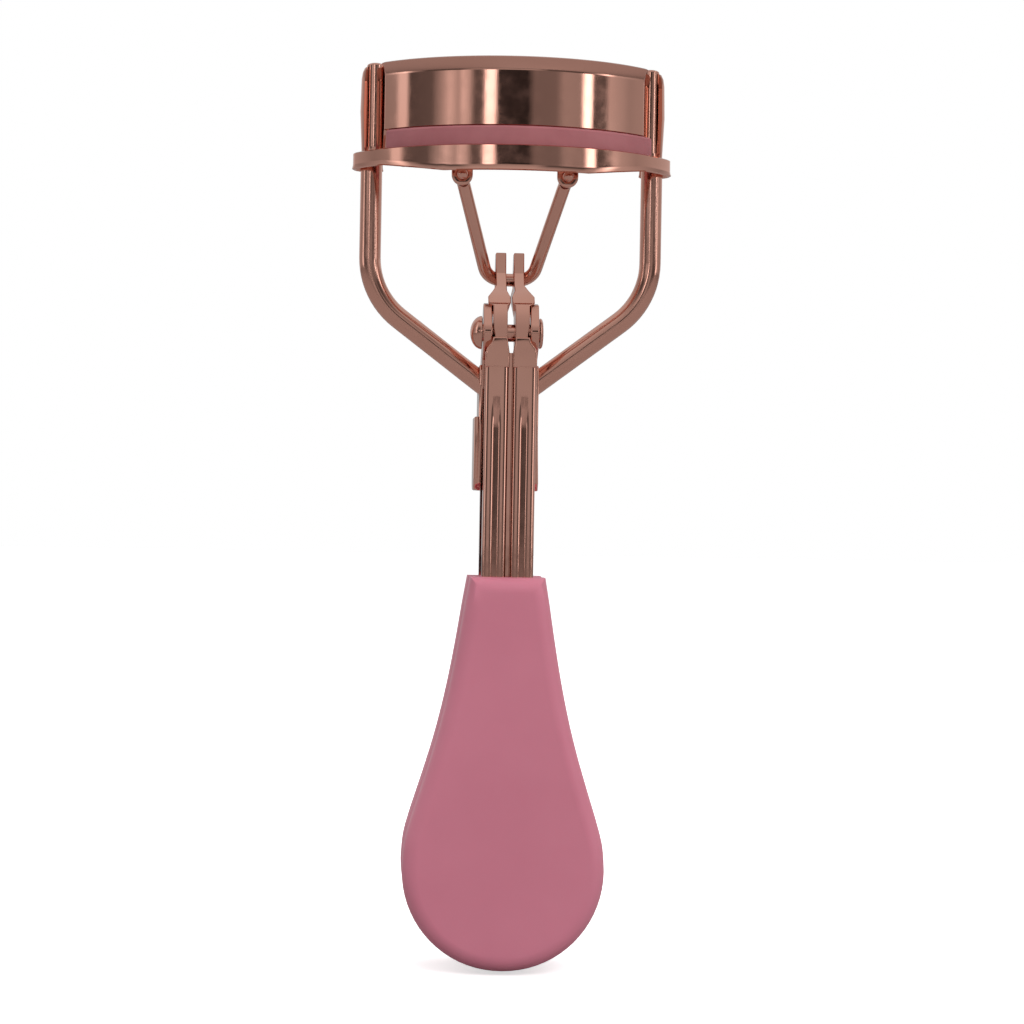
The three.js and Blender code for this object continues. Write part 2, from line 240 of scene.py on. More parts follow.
def frame_wire(side):
    """One wire, from the end of its leg in the bracket to the tip inside the band's fold."""
    up = Vector((0, 0, 1))
    splay = Vector((side * (POST_X - LEG_X), 0, SPLAY_HIGH - SPLAY_LOW))
    slope = splay.normalized()
    low_reach = SPLAY_BEND * math.tan(slope.angle(up) / 2)
    high_reach = POST_BEND * math.tan(slope.angle(up) / 2)
    wire = round_bar(WIRE_RADIUS, (side * LEG_X, 0, LEG_END), up)
    piece = bpy.context.object
    wire.run(SPLAY_LOW - low_reach - LEG_END)
    wire.bend(slope, SPLAY_BEND)
    wire.run(splay.length - low_reach - high_reach)
    wire.bend(up, POST_BEND, steps=12)
    wire.run(NECK_BOTTOM - wire.at.z)
    neck_steps = 5
    share = 1.0
    for i in range(1, neck_steps + 1):
        ease = (1 - math.cos(math.pi * i / neck_steps)) / 2
        wire.run((NECK_TOP - NECK_BOTTOM) / neck_steps)
        target = Vector((side * (POST_X + (POST_TIP_X - POST_X) * ease), 0, wire.at.z))
        bpy.ops.transform.translate(value=target - wire.at)
        wire.at = target
        wire.swell((1 + (TIP_SHARE - 1) * ease) / share)
        share = 1 + (TIP_SHARE - 1) * ease
    wire.run(POST_TOP - TIP_DOME - wire.at.z)
    wire.dome(TIP_DOME)
    return piece


for side, node in ((-1, "frame_wire_left"), (1, "frame_wire_right")):
    wire_piece = close_up(frame_wire(side), "bent_" + node)
    set_down(wire_piece, "frame", node, plate_of_wires)

# ---- Upper band ------------------------------------------------------------------------------------
# A strip of 0.55 mm sheet rolled to the curve of an eyelid. Its top rim is flared a little forward to
# stiffen it, and at each end it folds back and wraps a post's tip from behind, with the wrap's foot drawn
# down over the post's neck. Polished and plated.
EYE_CENTRE = Vector((0, 9.41, 0))
BAND_RADIUS, BAND_BOTTOM, BAND_TOP = 19.75, 95.6, 103.4
SHEET = 0.55
BAND_FLARE, BAND_FLARE_FOOT = 0.38, 101.95
BAND_FACE, BAND_FOLD = 47.5, 0.4
POST_WRAP = WIRE_RADIUS * TIP_SHARE + 0.15 + SHEET / 2
WRAP_CLOSES = math.radians(40)
SLEEVE_HEAD, SLEEVE_DROP, SLEEVE_SHARE, WRAP_SHARE = 2.6, 2.3, 0.84, 0.95


def arc(x, y, radius, start, end, steps):
    """Points of an arc about (x, y), in degrees, anticlockwise if they rise."""
    turns = [math.radians(start + (end - start) * i / steps) for i in range(steps + 1)]
    return [(x + radius * math.cos(t), y + radius * math.sin(t)) for t in turns]


FROM_THE_SIDE = (math.radians(90), 0, math.radians(90))
FROM_THE_FRONT = (math.radians(90), 0, 0)


def flat_curve(outlines, at, turn, thick=0.0, edge=0.0, filled=True, closed=True, steps=3):
    """A flat curve of one or more outlines, the later ones holes, given a thickness and round edges."""
    curve = bpy.data.curves.new("outline", "CURVE")
    curve.dimensions = "2D"
    curve.fill_mode = "BOTH" if filled else "NONE"
    for outline in outlines:
        spline = curve.splines.new("POLY")
        spline.points.add(len(outline) - 1)
        for point, (u, v) in zip(spline.points, outline):
            point.co = (u, v, 0, 1)
        spline.use_cyclic_u = closed
    curve.extrude = max(thick / 2 - edge, 0.0)
    curve.bevel_depth = edge
    curve.bevel_resolution = steps
    curve.offset = -edge
    piece = bpy.data.objects.new("outline", curve)
    bpy.context.scene.collection.objects.link(piece)
    piece.location = at
    piece.rotation_euler = turn
    bpy.ops.object.select_all(action="DESELECT")
    piece.select_set(True)
    bpy.context.view_layer.objects.active = piece
    bpy.ops.object.convert(target="MESH")
    piece = bpy.context.object
    bpy.ops.object.transform_apply(location=True, rotation=True, scale=True)
    bpy.ops.object.mode_set(mode="EDIT")
    bpy.ops.mesh.select_all(action="SELECT")
    bpy.ops.mesh.remove_doubles(threshold=0.0005)
    return piece


def both_sides(piece):
    """Opens the middle plane and mirrors the right-hand half to the left."""
    pick(piece, lambda p: abs(p.x) < 0.001)
    bpy.ops.mesh.delete(type="ONLY_FACE")
    bpy.ops.object.mode_set(mode="OBJECT")
    bpy.ops.object.transform_apply(location=True, rotation=True, scale=True)
    mirror = piece.modifiers.new("both sides", "MIRROR")
    mirror.use_axis = (True, False, False)
    mirror.use_mirror_merge = True
    mirror.merge_threshold = 0.002
    bpy.ops.object.modifier_apply(modifier=mirror.name)


def around_eye(degrees, radius):
    """A point of the head's curve, counted from the middle plane towards the right."""
    turn = math.radians(degrees - 90)
    return Vector((radius * math.cos(turn), EYE_CENTRE.y + radius * math.sin(turn), 0))


def sheet_section(inner, outer, low, high, flare, foot=None, head=None):
    """Section of a curved wall, its rim flared forward above the foot or below the head."""
    edge = 0.12
    middle = (outer + inner) / 2
    low_flare, high_flare = (flare, 0) if head else (0, flare)
    points = [(outer + low_flare, low + edge), (middle + low_flare, low), (inner + low_flare, low + edge)]
    if head:
        points += [(inner + 0.25 * flare, (low + head) / 2 + 0.05), (inner, head)]
    if foot:
        points += [(inner, low + SLEEVE_HEAD), (inner, foot)]
        points += [(inner + 0.35 * flare, (foot + high) / 2 + 0.1)]
    points += [(inner + high_flare, high - edge), (middle + high_flare, high)]
    points += [(outer + high_flare, high - edge)]
    if foot:
        points += [(outer + 0.35 * flare, (foot + high) / 2 + 0.1), (outer + 0.05 * flare, foot + 0.1)]
        points += [(outer, foot - 0.15), (outer, low + SLEEVE_HEAD)]
    if head:
        points += [(outer, head + 0.15), (outer + 0.05 * flare, head - 0.1)]
        points += [(outer + 0.25 * flare, (low + head) / 2 + 0.05)]
    return [(EYE_CENTRE.y - r, z) for r, z in points]


def swing(start, end, steps):
    """Spins what is selected about the eye's axis, from one angle to another, towards the right."""
    bpy.ops.mesh.spin(steps=steps, angle=math.radians(end - start), center=EYE_CENTRE, axis=(0, 0, -1))


def heading(degrees):
    """The way a sheet runs at that angle of the head's curve."""
    return Vector((math.cos(math.radians(degrees)), math.sin(math.radians(degrees)), 0))


def upper_band():
    """Half the band, fed round the eye, back to the post and round its tip, then mirrored."""
    inner, outer = BAND_RADIUS - SHEET / 2, BAND_RADIUS + SHEET / 2
    section = sheet_section(inner, outer, BAND_BOTTOM, BAND_TOP, BAND_FLARE, foot=BAND_FLARE_FOOT)
    piece = flat_curve([section], (0, 0, 0), FROM_THE_SIDE)
    swing(0, 40, 16)
    swing(40, BAND_FACE, 2)
    fold = Feed(around_eye(BAND_FACE, BAND_RADIUS), heading(BAND_FACE))
    fold.bend((0, 1, 0), BAND_FOLD, steps=6)
    fold.run(-fold.at.y)
    to_wrap = Vector((POST_TIP_X - POST_WRAP - fold.at.x, 0, 0))
    bpy.ops.transform.translate(value=to_wrap)
    fold.at += to_wrap
    fold.bend((1, 0, 0), POST_WRAP, steps=8)
    fold.bend((0, -1, 0), POST_WRAP, steps=8)
    fold.bend((-math.sin(WRAP_CLOSES), -math.cos(WRAP_CLOSES), 0), POST_WRAP, steps=5)
    tip = Vector((POST_TIP_X, 0))
    pick(piece, lambda p: p.z < BAND_BOTTOM + 0.5 and (p.xy - tip).length < 1.9)
    bpy.ops.transform.translate(value=(0.05, 0, -SLEEVE_DROP))
    bpy.ops.transform.resize(value=(SLEEVE_SHARE, SLEEVE_SHARE, 1), center_override=(tip.x + 0.05, 0, 0))
    pick(piece, lambda p: p.z > BAND_BOTTOM + 5 and (p.xy - tip).length < 2.2)
    bpy.ops.transform.resize(value=(WRAP_SHARE, WRAP_SHARE, 1), center_override=(tip.x, 0, 0))
    both_sides(piece)
    return piece


plate_of_sheet = plating("rose_gold_sheet", (0.78, 0.415, 0.325), (0.73, 0.375, 0.29), 0.05, 0.10)
band_piece = close_up(upper_band(), "flared_band")
set_down(band_piece, "frame", "upper_band", plate_of_sheet)

# ---- Lower jaw -------------------------------------------------------------------------------------
# The sliding jaw is one pressing of the same sheet: a wall and a channel on the curve of the eye, arms
# that loop round the two posts, and two pierced lugs folded down for the link. Its lower rim is flared
# forward and rises towards the loops.
JAW_BOTTOM, JAW_TOP, LOOP_RISE = 90.45, 93.4, 1.0
LOOP_RADIUS, LOOP_FORMER, LOOP_START = 2.0, 1.91, 60.0
JAW_RADIUS = math.hypot(POST_X, EYE_CENTRE.y) + LOOP_RADIUS
JAW_FLOOR = JAW_BOTTOM + 1.05
JAW_FLARE, JAW_FLARE_HEAD = 0.12, 91.15
WALL_INNER, WALL_OUTER = JAW_RADIUS - SHEET / 2, JAW_RADIUS + SHEET / 2 - JAW_FLARE
PAD_INNER, PAD_OUTER = 18.25, 20.3
CHANNEL_END = 44.5
LUG = Vector((6.0, -7.2, 90.3))


def join(pieces):
    """Makes several finished shapes one mesh."""
    if bpy.context.object.mode == "EDIT":
        bpy.ops.object.mode_set(mode="OBJECT")
    bpy.ops.object.select_all(action="DESELECT")
    for piece in pieces:
        piece.select_set(True)
    bpy.context.view_layer.objects.active = pieces[0]
    bpy.ops.object.join()
    return pieces[0]


def jaw_wall():
    """The front wall: round the eye, then on round the post and back behind it."""
    section = sheet_section(WALL_INNER, WALL_OUTER, JAW_BOTTOM, JAW_TOP, JAW_FLARE, head=JAW_FLARE_HEAD)
    piece = flat_curve([section], (0, 0, 0), FROM_THE_SIDE)
    swing(0, LOOP_START, 26)
    loop = Feed(around_eye(LOOP_START, JAW_RADIUS), heading(LOOP_START))
    for onward in (90, 162):
        loop.bend(heading(LOOP_START + onward), LOOP_FORMER, steps=9)
    rising = (8.2, 9.1, 10.0, 10.8, 11.6, 12.3, 13.0, 13.6, 14.2, 14.8)
    for reach in rising:
        pick(piece, lambda p: p.z < JAW_TOP - 0.5 and p.x > reach)
        bpy.ops.transform.translate(value=(0, 0, LOOP_RISE / len(rising)))
    both_sides(piece)
    return close_up(piece, "wall")


def jaw_channel():
    """Floor and rear wall of the pad's channel, seen from the side as an L with a rounded corner."""
    back, top = PAD_INNER - 0.15 - SHEET, JAW_TOP - 0.4
    corner = [(back + 0.5 - u, JAW_FLOOR + 0.5 - v) for u, v in arc(0, 0, 0.5, 0, 90, 5)]
    inside = [(back + SHEET + 0.2, JAW_FLOOR + SHEET), (back + SHEET, JAW_FLOOR + SHEET + 0.2)]
    section = [(WALL_INNER + 0.1, JAW_FLOOR), (WALL_INNER + 0.1, JAW_FLOOR + SHEET), *inside]
    section += [(back + SHEET, top - 0.12), (back + SHEET / 2, top), (back, top - 0.12), *corner]
    piece = flat_curve([[(EYE_CENTRE.y - r, z) for r, z in section]], (0, 0, 0), FROM_THE_SIDE)
    swing(0, CHANNEL_END, 22)
    both_sides(piece)
    return close_up(piece, "channel")


def jaw_lug(side):
    """A round-ended tab with a hole, folded straight down from the floor."""
    outline = [(1.2, 1.6), (-1.2, 1.6)] + arc(0, 0, 1.2, 180, 360, 20)
    hole = arc(0, 0, 0.62, 0, 345, 23)
    piece = flat_curve([outline, hole], (side * LUG.x, LUG.y, LUG.z), FROM_THE_FRONT, 0.62, 0.14)
    return close_up(piece, "lug")


jaw_piece = join([jaw_wall(), jaw_channel(), jaw_lug(-1), jaw_lug(1)])
jaw_piece.name = jaw_piece.data.name = "sliding_jaw"
set_down(jaw_piece, "jaw", "lower_jaw", plate_of_sheet)

# ---- Silicone pad ----------------------------------------------------------------------------------
# A moulded strip of soft pink silicone, pushed into the jaw's channel. It stands proud of the wall, a
# little off centre, and the band presses the lashes into its top.
PAD_FLOOR = JAW_FLOOR + SHEET + 0.15
PAD_TOP = BAND_BOTTOM - 0.01
PAD_LEFT, PAD_RIGHT = -48.5, 53.5


def round_off(at, turn, radius, reach):
    """Rounds the end of a strip over so many degrees: each step swings on and draws the section in."""
    for i in range(1, 7):
        before, now = math.radians(13 * (i - 1)), math.radians(13 * i)
        degrees = reach * (math.sin(now) - math.sin(before))
        share = math.cos(now) / math.cos(before)
        bpy.ops.mesh.spin(steps=1, angle=math.radians(degrees), center=EYE_CENTRE, axis=(0, 0, -turn))
        at += turn * degrees
        low_middle = around_eye(at, radius) + Vector((0, 0, PAD_FLOOR + 1.0))
        bpy.ops.transform.resize(value=(share, share, share), center_override=low_middle)


def silicone_pad():
    """Spun from the middle to the right, then to the left, each end rounded off."""
    inner, outer = PAD_INNER + 0.03, PAD_OUTER - 0.08
    middle = (inner + outer) / 2
    crown = [(outer, PAD_TOP - 0.3), (outer - 0.06, PAD_TOP - 0.12), (outer - 0.22, PAD_TOP)]
    crown += [(middle, PAD_TOP), (inner + 0.45, PAD_TOP - 0.08), (inner + 0.12, PAD_TOP - 0.3)]
    crown += [(inner, PAD_TOP - 0.62)]
    foot = [(inner, PAD_FLOOR + 0.2), (inner + 0.2, PAD_FLOOR)]
    foot += [(outer - 0.2, PAD_FLOOR), (outer, PAD_FLOOR + 0.2)]
    piece = flat_curve([[(EYE_CENTRE.y - r, z) for r, z in crown + foot]], (0, 0, 0), FROM_THE_SIDE)
    bpy.ops.mesh.spin(steps=22, angle=math.radians(PAD_RIGHT - 2), center=EYE_CENTRE, axis=(0, 0, -1))
    round_off(PAD_RIGHT - 2, 1, middle, 2.0)
    pick(piece, lambda p: abs(p.x) < 0.001)
    bpy.ops.mesh.spin(steps=20, angle=math.radians(-PAD_LEFT - 2), center=EYE_CENTRE, axis=(0, 0, 1))
    round_off(PAD_LEFT + 2, -1, middle, 0.9)
    return close_up(piece, "eye_pad", smooth=60)


def rubber(name, colour, shade):
    """Soft matt silicone: a faint mottle, a fine moulded grain, and light that sinks in a little."""
    material = bpy.data.materials.new(name)
    material.use_nodes = True
    nodes, links = material.node_tree.nodes, material.node_tree.links
    shader = nodes["Principled BSDF"]
    shader.inputs["Roughness"].default_value = 0.48
    shader.inputs["Specular IOR Level"].default_value = 0.4
    shader.inputs["Subsurface Weight"].default_value = 0.12
    shader.inputs["Subsurface Radius"].default_value = (0.0012, 0.0004, 0.0005)
    where = nodes.new("ShaderNodeTexCoord")
    mottle = noise(nodes, 260.0, 3.0)
    tone = ramp_of(nodes, [(0.36, shade), (0.64, colour)])
    grain = noise(nodes, 6500.0)
    skin = relief(nodes, 0.25, 0.00002)
    links.new(where.outputs["Object"], mottle.inputs["Vector"])
    links.new(mottle.outputs["Fac"], tone.inputs["Fac"])
    links.new(tone.outputs["Color"], shader.inputs["Base Color"])
    links.new(where.outputs["Object"], grain.inputs["Vector"])
    links.new(grain.outputs["Fac"], skin.inputs["Height"])
    links.new(skin.outputs["Normal"], shader.inputs["Normal"])
    return material


pad_piece = silicone_pad()
pink_silicone = rubber("pink_silicone", (0.51, 0.18, 0.195), (0.45, 0.15, 0.165))
set_down(pad_piece, "jaw", "silicone_pad", pink_silicone)

# ---- Link ------------------------------------------------------------------------------------------
# One 1.5 mm wire bent to a V. Its middle passes through both prongs of the lever, its arms rise to the
# jaw, and each end is turned down to a thin neck through a lug and headed over with a small ball.
LINK_RADIUS, LINK_NECK = 0.75, 0.42
LINK_HOLE = Vector((0, 1.4, 79.2))


def link_half():
    """From the middle to the right-hand lug."""
    foot = Vector((2.75, 0.2, 81.4))
    shoulder = LUG + Vector((0, 1.25, 0))
    arm = (shoulder - foot).normalized()
    wire = round_bar(LINK_RADIUS, LINK_HOLE, (1, 0, 0), sides=20)
    piece = bpy.context.object
    wire.run(0.95)
    wire.bend(arm, 2.1, steps=10)
    aim = (shoulder - wire.at).normalized()
    wire.bend(aim, 9.0, steps=4)
    reach = 1.1
    wire.run((shoulder - wire.at).length - reach)
    wire.bend((0, -1, 0), reach / math.tan(wire.along.angle(Vector((0, -1, 0))) / 2 + 0.35), steps=7)
    settle = shoulder - wire.at
    bpy.ops.transform.translate(value=settle)
    wire.at += settle
    wire.run(0.35)
    wire.run(0.12)
    wire.swell(LINK_NECK / LINK_RADIUS)
    wire.run(1.35)
    head, share = 0.62, LINK_NECK
    for i in range(1, 8):
        turn = math.radians(35 + 20 * i)
        radius = head * math.sin(turn)
        wire.run(head * (math.cos(math.radians(15 + 20 * i)) - math.cos(turn)))
        wire.swell(radius / share)
        share = radius
    both_sides(piece)
    return close_up(piece, "v_link", smooth=50)


set_down(link_half(), "link", "link_wire", plate_of_wires)

# ---- Front lever -----------------------------------------------------------------------------------
# One stamping, folded to two prongs. Above the pivot the prongs lean back to take the link, below it
# they widen to flat faces with a narrow groove between them; a shallow flute runs down each into the
# handle.
PIVOT = Vector((0, -3.4, 72.7))
SHANK_HALF, GROOVE_HALF, SHANK_SHEET = 2.95, 0.25, 0.55
SHANK_END = 35.5
LEVER_ROOT, LEVER_CREST = -3.7, -6.2
FLUTE_BEND, FLUTE_SIDE, FLUTE_FLOOR = 0.3, 0.2, 0.15
FLUTE_TOP = 70.4


def upright_edge(x, y, low, high, rows):
    """A plain vertical edge: what is left of a plane once its far side is deleted, cut into rows."""
    tall = high - low
    piece = begin(
        bpy.ops.mesh.primitive_plane_add,
        size=tall,
        location=(x + tall / 2, y, low + tall / 2),
        rotation=FROM_THE_FRONT,
    )
    pick(piece, lambda p: p.x > x + tall / 2)
    bpy.ops.mesh.delete(type="VERT")
    bpy.ops.mesh.select_all(action="SELECT")
    bpy.ops.mesh.subdivide(number_cuts=rows - 1)
    return piece


def thicken(piece, thickness, edge):
    """Gives a bent sheet its thickness about its middle, and breaks its edges."""
    bpy.ops.object.mode_set(mode="OBJECT")
    solid = piece.modifiers.new("sheet", "SOLIDIFY")
    solid.thickness = thickness
    solid.offset = 0.0
    solid.use_even_offset = True
    bpy.ops.object.modifier_apply(modifier=solid.name)
    soft = piece.modifiers.new("broken edges", "BEVEL")
    soft.width = edge
    soft.segments = 3
    soft.limit_method = "ANGLE"
    soft.angle_limit = math.radians(50)
    bpy.ops.object.modifier_apply(modifier=soft.name)


def fluted_shank(root, crest, low, high):
    """A fluted sheet: half is bent from the middle of the groove outwards, then mirrored."""
    facing = math.copysign(1, crest - root)
    half = SHANK_SHEET / 2
    corner = 0.3
    leans = [math.radians(a) for a in (-50, -20, 20, 50)]
    slants = [Vector((math.cos(lean), facing * math.sin(lean), 0)) for lean in leans]
    piece = upright_edge(0, root, low, high, rows=60)
    sheet = Feed((0, root, low), (1, 0, 0))
    sheet.run(GROOVE_HALF + half - corner)
    sheet.bend((0, facing, 0), corner, steps=4)
    sheet.run(abs(crest - root) - half - 2 * corner)
    sheet.bend((1, 0, 0), corner, steps=5)
    sheet.run(0.06)
    sheet.bend(slants[0], FLUTE_BEND, steps=4)
    sheet.bend(slants[1], FLUTE_SIDE, steps=2)
    sheet.run(0.36)
    sheet.bend(slants[2], FLUTE_FLOOR, steps=2)
    sheet.run(0.36)
    sheet.bend(slants[3], FLUTE_SIDE, steps=2)
    sheet.bend((1, 0, 0), FLUTE_BEND, steps=4)
    sheet.run(SHANK_HALF - half - corner - sheet.at.x)
    sheet.bend((0, -facing, 0), corner, steps=5)
    sheet.run(abs(crest - root) - half - corner)
    both_sides(piece)
    bpy.ops.object.mode_set(mode="EDIT")
    bpy.ops.mesh.select_all(action="SELECT")
    bpy.ops.mesh.remove_doubles(threshold=0.0005)
    bpy.ops.mesh.normals_make_consistent(inside=False)
    return piece


def lever_shank():
    """The fluted part; towards its top the flutes run out into flat faces."""
    piece = fluted_shank(LEVER_ROOT, LEVER_CREST, SHANK_END, FLUTE_TOP)
    face = LEVER_CREST + SHANK_SHEET / 2
    for above, share in ((62.2, 0.9), (62.8, 0.8), (63.4, 0.65), (64.0, 0.45), (64.6, 0.0)):
        pick(piece, lambda p: p.z > above and 0.88 < abs(p.x) < 2.37 and p.y < face + 0.4)
        bpy.ops.transform.resize(value=(1, share, 1), center_override=(0, face, 0))
    thicken(piece, SHANK_SHEET, 0.12)
    return close_up(piece, "shank")


PRONG_INNER, PRONG_OUTER, PRONG_TIP = 0.44, 1.66, 82.3
PINCH, BOSS, STOP_REACH = 0.36, 0.42, 0.6
PRONG_OUTLINE = [
    (-3.4, 65.4), (-3.1, 69.0), (-1.7, 71.4), (-0.9, 74.6), (1.4, 76.9), (3.0, 78.3), (3.0, 80.4),
    (2.3, PRONG_TIP), (0.6, PRONG_TIP), (0.1, 79.9), (-1.3, 78.4), (-2.6, 77.7), (-3.9, 76.9),
    (-4.6, 76.2), (-4.85, 75.8), (-5.3, 74.6), (-5.6, 73.2), (-5.9, 71.2), (-6.0, 69.4), (-6.0, 65.4),
]


def lever_prong(side):
    """A plate seen from the side, bored for the rivet and for the link."""
    middle = side * (PRONG_INNER + PRONG_OUTER) / 2
    rivet_bore = arc(PIVOT.y, PIVOT.z, 1.1, 0, 348, 29)
    link_bore = arc(LINK_HOLE.y, LINK_HOLE.z, LINK_RADIUS + 0.3, 0, 348, 29)
    outlines = [PRONG_OUTLINE, rivet_bore, link_bore]
    piece = flat_curve(outlines, (middle, 0, 0), FROM_THE_SIDE, PRONG_OUTER - PRONG_INNER, 0.13)
    pick(piece, lambda p: abs(p.x) < PRONG_INNER + 0.2 and 76.0 < p.z < 77.3)
    bpy.ops.transform.translate(value=(-side * PINCH, 0, 0))
    pick(piece, lambda p: abs(p.x) > PRONG_OUTER - 0.2 and 71.3 < p.z < 77.8)
    bpy.ops.transform.translate(value=(side * BOSS, 0, 0))
    pick(piece, lambda p: abs(p.x) > PRONG_OUTER - 0.2 and 76.0 < p.z < 77.3 and p.y < -2.5)
    bpy.ops.transform.translate(value=(side * STOP_REACH, 0, 0))
    return close_up(piece, "prong", 28)


def lever_cheek(side):
    """The flat shoulder below the pivot, where each half narrows up into its prong."""
    outline = [(0.2, 68.6), (SHANK_HALF, 68.6), (SHANK_HALF, 70.2), (SHANK_HALF - 0.15, 70.8)]
    outline += [(2.25, 71.5), (2.08, 72.1), (0.44, 72.1), (0.38, 71.5), (0.2, 70.3)]
    outline = [(side * u, v) for u, v in outline]
    front = LEVER_CREST - 0.05
    return close_up(flat_curve([outline], (0, front + 0.6, 0), FROM_THE_FRONT, 1.2, 0.2), "cheek")


shapes = [lever_shank()]
for side in (-1, 1):
    shapes += [lever_prong(side), lever_cheek(side)]
lever_piece = join(shapes)
lever_piece.name = lever_piece.data.name = "pronged_lever"
set_down(lever_piece, "lever", "front_lever", plate_of_sheet)

# ---- Pivot bracket ---------------------------------------------------------------------------------
# A sheet folded to a channel round the two wire legs and the rear shank and squeezed shut on them. Two
# ears stand up from its sides, in front of the wires, and carry the rivet. Its free edge is lapped over
# the left wall.
BRACKET_LOW, BRACKET_WALL_TOP = 54.6, 66.9
BRACKET_HALF, BRACKET_BACK, BRACKET_FRONT, BRACKET_SHEET = 3.2, 4.5, -2.0, 0.5
EAR_INNER, EAR_OUTER = 2.2, 3.18


def bracket_channel():
    """The folded sheet, flared a little at its foot, with its lower front corners rounded."""
    corner = 0.7
    piece = upright_edge(0, BRACKET_BACK, BRACKET_LOW, BRACKET_WALL_TOP, rows=1)
    sheet = Feed((0, BRACKET_BACK, BRACKET_LOW), (1, 0, 0))
    sheet.run(BRACKET_HALF - corner)
    sheet.bend((0, -1, 0), corner, steps=6)
    sheet.run(BRACKET_BACK - corner - BRACKET_FRONT - 0.9)
    for shorter in (0.35, 0.28, 0.18):
        sheet.run(0.3)
        pick(piece, lambda p: p.y < sheet.at.y + 0.01 and p.z < BRACKET_LOW + 2)
        bpy.ops.transform.translate(value=(0, 0, shorter))
        pick(piece, lambda p: p.y < sheet.at.y + 0.01)
    pick(piece, lambda p: p.z < BRACKET_LOW + 1.5 and p.x > 1)
    bpy.ops.transform.translate(value=(0.12, 0, 0))
    both_sides(piece)
    bpy.ops.object.mode_set(mode="EDIT")
    bpy.ops.mesh.select_all(action="SELECT")
    bpy.ops.mesh.remove_doubles(threshold=0.0005)
    bpy.ops.mesh.normals_make_consistent(inside=False)
    thicken(piece, BRACKET_SHEET, 0.13)
    return close_up(piece, "channel")


def bracket_ear(side):
    """A rounded ear, seen from the side, bored for the rivet."""
    outline = [(4.2, 66.3), (4.2, 68.6), (2.6, 69.4), (1.2, 70.5), (0.2, 71.9), (-0.6, 73.4)]
    outline += [(-2.1, 75.6), (-2.6, 76.0), (-3.3, 76.1), (-4.3, 75.9)]
    outline += arc(PIVOT.y, PIVOT.z, 2.4, 155, 245, 14) + [(-2.7, 69.6), (-2.3, 66.3)]
    bore = arc(PIVOT.y, PIVOT.z, 1.05, 0, 348, 29)
    middle = side * (EAR_INNER + EAR_OUTER) / 2
    piece = flat_curve([outline, bore], (middle, 0, 0), FROM_THE_SIDE, EAR_OUTER - EAR_INNER, 0.16)
    return close_up(piece, "ear", 28)


def bracket_shoulder(side):
    """Where the ear's root widens to the channel's wall."""
    outline = [(4.5, 66.4), (4.5, 68.2), (3.9, 69.1), (-1.6, 69.1), (-2.0, 68.5), (-2.0, 66.4)]
    piece = flat_curve([outline], (side * 3.12, 0, 0), FROM_THE_SIDE, 0.62, 0.16)
    return close_up(piece, "shoulder", 28)


def bracket_tab():
    """The sheet's free edge, lapped over the left wall and hammered down, with a rounded foot."""
    outline = [(-2.0, 63.1), (3.4, 63.1), (3.4, 56.2)] + arc(1.9, 56.1, 1.5, 0, -90, 6)
    outline += arc(-0.6, 56.0, 1.4, -90, -180, 6)
    return close_up(flat_curve([outline], (-3.62, 0, 0), FROM_THE_SIDE, 0.62, 0.2), "tab", 28)


def cut_for_wires(piece):
    """Cuts a notch in each side where a wire comes out."""
    for side in (-1, 1):
        splay = Vector((side * (POST_X - LEG_X), 0, SPLAY_HIGH - SPLAY_LOW)).normalized()
        notch = round_bar(WIRE_RADIUS + 0.12, (side * LEG_X, 0, LEG_END + 4), (0, 0, 1))
        cutter = bpy.context.object
        reach = SPLAY_BEND * math.tan(splay.angle(Vector((0, 0, 1))) / 2)
        notch.run(SPLAY_LOW - reach - LEG_END - 4)
        notch.bend(splay, SPLAY_BEND)
        notch.run(6)
        close_up(cutter, "cutter")
        bpy.ops.object.select_all(action="DESELECT")
        piece.select_set(True)
        bpy.context.view_layer.objects.active = piece
        cut = piece.modifiers.new("notch", "BOOLEAN")
        cut.object = cutter
        cut.operation = "DIFFERENCE"
        cut.solver = "EXACT"
        cut.use_self = True
        bpy.ops.object.modifier_apply(modifier=cut.name)
        bpy.data.objects.remove(cutter)


shapes = [bracket_channel(), bracket_tab()]
for side in (-1, 1):
    shapes += [bracket_ear(side), bracket_shoulder(side)]
bracket_piece = join(shapes)
cut_for_wires(bracket_piece)
bracket_piece.name = bracket_piece.data.name = "eared_bracket"
bpy.ops.object.shade_smooth_by_angle(angle=math.radians(30))
set_down(bracket_piece, "frame", "pivot_bracket", plate_of_sheet)

# ---- Pivot rivet -----------------------------------------------------------------------------------
# A 2 mm steel rivet through both ears and both prongs, with a domed factory head on the left and a low
# peened head on the right. Plated with the rest.
RIVET_SEAT = EAR_OUTER + 0.12


def pivot_rivet():
    """Half its profile, from the crown of the left head to the middle of the right one, spun round."""
    crown = [math.radians(a) for a in range(90, 0, -9)]
    left = [(-RIVET_SEAT - 1.35 * math.sin(a), 1.92 * math.cos(a)) for a in crown]
    left += [(-RIVET_SEAT - 0.06, 1.92), (-RIVET_SEAT, 1.84), (-RIVET_SEAT, 1.0)]
    right = [(RIVET_SEAT, 1.0), (RIVET_SEAT, 1.68), (RIVET_SEAT + 0.06, 1.76), (RIVET_SEAT + 0.16, 1.74)]
    right += [(RIVET_SEAT + 0.3, 1.62), (RIVET_SEAT + 0.4, 1.35), (RIVET_SEAT + 0.46, 0.7)]
    right += [(RIVET_SEAT + 0.48, 0.0)]
    place = (0, PIVOT.y, PIVOT.z)
    piece = flat_curve([left + right], place, FROM_THE_FRONT, filled=False, closed=False)
    bpy.ops.mesh.spin(steps=40, angle=math.radians(360), center=place, axis=(1, 0, 0))
    return close_up(piece, "pivot_pin", smooth=40)


set_down(pivot_rivet(), "frame", "pivot_rivet", plate_of_wires)

